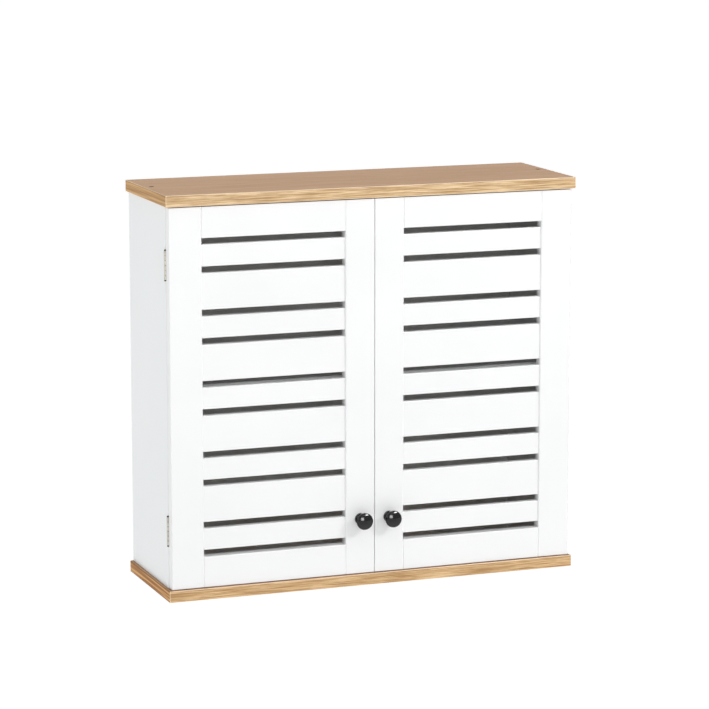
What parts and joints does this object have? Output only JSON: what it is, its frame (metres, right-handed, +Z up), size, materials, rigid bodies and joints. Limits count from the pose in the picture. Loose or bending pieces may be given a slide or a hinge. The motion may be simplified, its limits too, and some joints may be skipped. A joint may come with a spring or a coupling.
{
  "type": "hanging wall cabinet",
  "caption": "Shallow white wall cabinet with oak-look top and bottom boards, slatted hinged doors with round knobs, an inner shelf and a hanging rail.",
  "frame": {"origin": "on the wall plane, midway between the two wall-screw holes of the hanging rail", "axes": "+X to the right seen from the front, +Y back into the wall, +Z up"},
  "size_m": [0.6, 0.2118, 0.56],
  "materials": {
    "oak_board": "oak-look printed film on particle board, satin, fine straight grain along the board",
    "oak_edge": "light oak-look edge band, satin, streaks along its length",
    "door_paint": "white lacquered fibre board, satin, very slight orange peel",
    "white_melamine": "white melamine film on board, low sheen, very fine texture",
    "back_board": "thin fibre board with a white film",
    "hinge_plate": "zinc-plated steel, slightly warm and dull",
    "plated_steel": "zinc-plated steel",
    "pin_steel": "dark oiled steel",
    "dark_screw": "dark brown screw",
    "black_knob": "glossy black",
    "catch_plastic": "moulded white plastic",
    "magnet": "dark grey ferrite",
    "beech": "plain turned beech dowel"
  },
  "bodies": {
    "cabinet": {"back_nails": "plated_steel", "back_panel": "back_board", "board_screws": "dark_screw", "bottom_board": "oak_board", "cabinet_screws": "plated_steel", "carcass_dowels": "beech", "catch_housing": "catch_plastic", "catch_magnets": "magnet", "edge_bands": "oak_edge", "hanging_rail": "white_melamine", "hinge_pins": "pin_steel", "left_lower_frame_leaf": "hinge_plate", "left_side_panel": "white_melamine", "left_upper_frame_leaf": "hinge_plate", "right_lower_frame_leaf": "hinge_plate", "right_side_panel": "white_melamine", "right_upper_frame_leaf": "hinge_plate", "shelf": "white_melamine", "shelf_pins": "plated_steel", "top_board": "oak_board"},
    "left_door": {"left_bottom_rail": "door_paint", "left_door_dowels": "beech", "left_door_screws": "plated_steel", "left_inner_stile": "door_paint", "left_knob": "black_knob", "left_knob_screw": "plated_steel", "left_lower_door_leaf": "hinge_plate", "left_outer_stile": "door_paint", "left_slat_1": "door_paint", "left_slat_2": "door_paint", "left_slat_3": "door_paint", "left_slat_4": "door_paint", "left_slat_5": "door_paint", "left_slat_6": "door_paint", "left_slat_7": "door_paint", "left_slat_8": "door_paint", "left_slat_9": "door_paint", "left_striker_plate": "plated_steel", "left_top_rail": "door_paint", "left_upper_door_leaf": "hinge_plate"},
    "right_door": {"right_bottom_rail": "door_paint", "right_door_dowels": "beech", "right_door_screws": "plated_steel", "right_inner_stile": "door_paint", "right_knob": "black_knob", "right_knob_screw": "plated_steel", "right_lower_door_leaf": "hinge_plate", "right_outer_stile": "door_paint", "right_slat_1": "door_paint", "right_slat_2": "door_paint", "right_slat_3": "door_paint", "right_slat_4": "door_paint", "right_slat_5": "door_paint", "right_slat_6": "door_paint", "right_slat_7": "door_paint", "right_slat_8": "door_paint", "right_slat_9": "door_paint", "right_striker_plate": "plated_steel", "right_top_rail": "door_paint", "right_upper_door_leaf": "hinge_plate"}
  },
  "joints": [
    {"name": "left_door_hinge", "type": "hinge", "parent": "cabinet", "child": "left_door", "pos_m": [-0.2958, -0.1709, 0], "axis": [0, 0, -1], "range_deg": [0, 180]},
    {"name": "right_door_hinge", "type": "hinge", "parent": "cabinet", "child": "right_door", "pos_m": [0.2958, -0.1709, 0], "axis": [0, 0, 1], "range_deg": [0, 180]}
  ]
}
